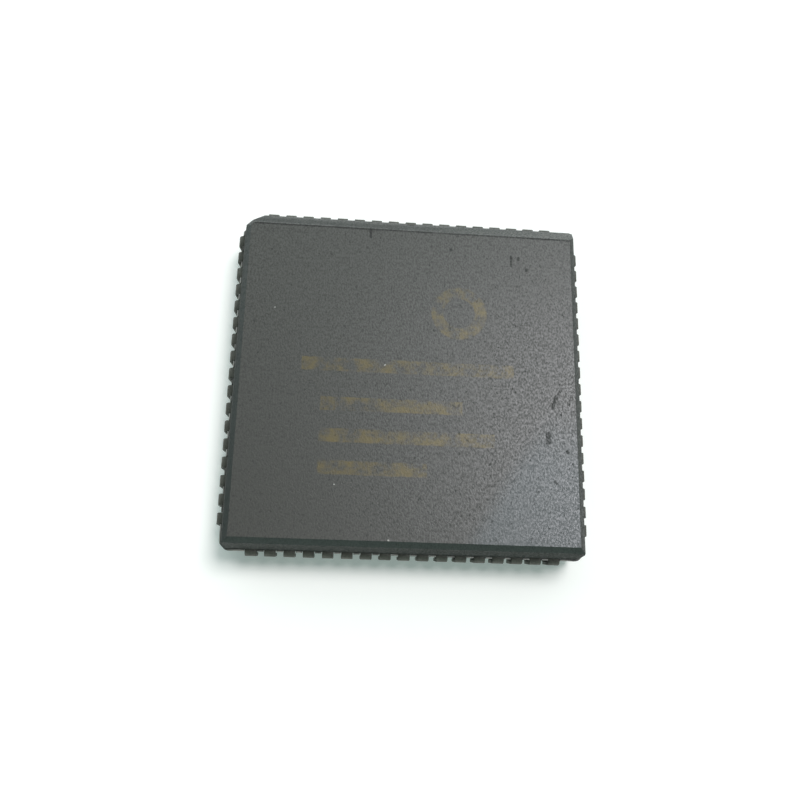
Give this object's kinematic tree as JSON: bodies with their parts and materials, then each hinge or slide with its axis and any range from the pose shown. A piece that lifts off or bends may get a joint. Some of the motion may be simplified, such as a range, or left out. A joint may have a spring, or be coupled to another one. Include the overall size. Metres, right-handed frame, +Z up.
{
  "type": "plastic leaded chip carrier",
  "caption": "Square moulded chip on J-leads curled under all four sides, with a bevelled side one, an index notch and a chamfered index corner; die, paddle and bond wires inside.",
  "frame": {"origin": "centre of the package on its seating plane, which the lead feet stand on", "axes": "+Z up, away from the board; +Y towards side one, with the bevel and the index notch; the chamfered index corner is at -X, +Y"},
  "size_m": [0.0252, 0.0252, 0.0044],
  "materials": {
    "mould_compound": "fine-grained moulded epoxy, charcoal, lightly scuffed",
    "plated_lead": "dull tarnished tin-lead plate on copper alloy",
    "lead_frame_copper": "bare copper alloy sheet",
    "silver_epoxy": "silver-filled adhesive",
    "silicon": "polished silicon, opaque",
    "gold_wire": "drawn gold wire"
  },
  "bodies": {
    "root": {"body": "mould_compound", "leads_front": "plated_lead", "leads_right": "plated_lead", "leads_back": "plated_lead", "leads_left": "plated_lead", "die_paddle": "lead_frame_copper", "die_attach": "silver_epoxy", "silicon_die": "silicon", "wires_front": "gold_wire", "wires_right": "gold_wire", "wires_back": "gold_wire", "wires_left": "gold_wire"}
  },
  "joints": []
}
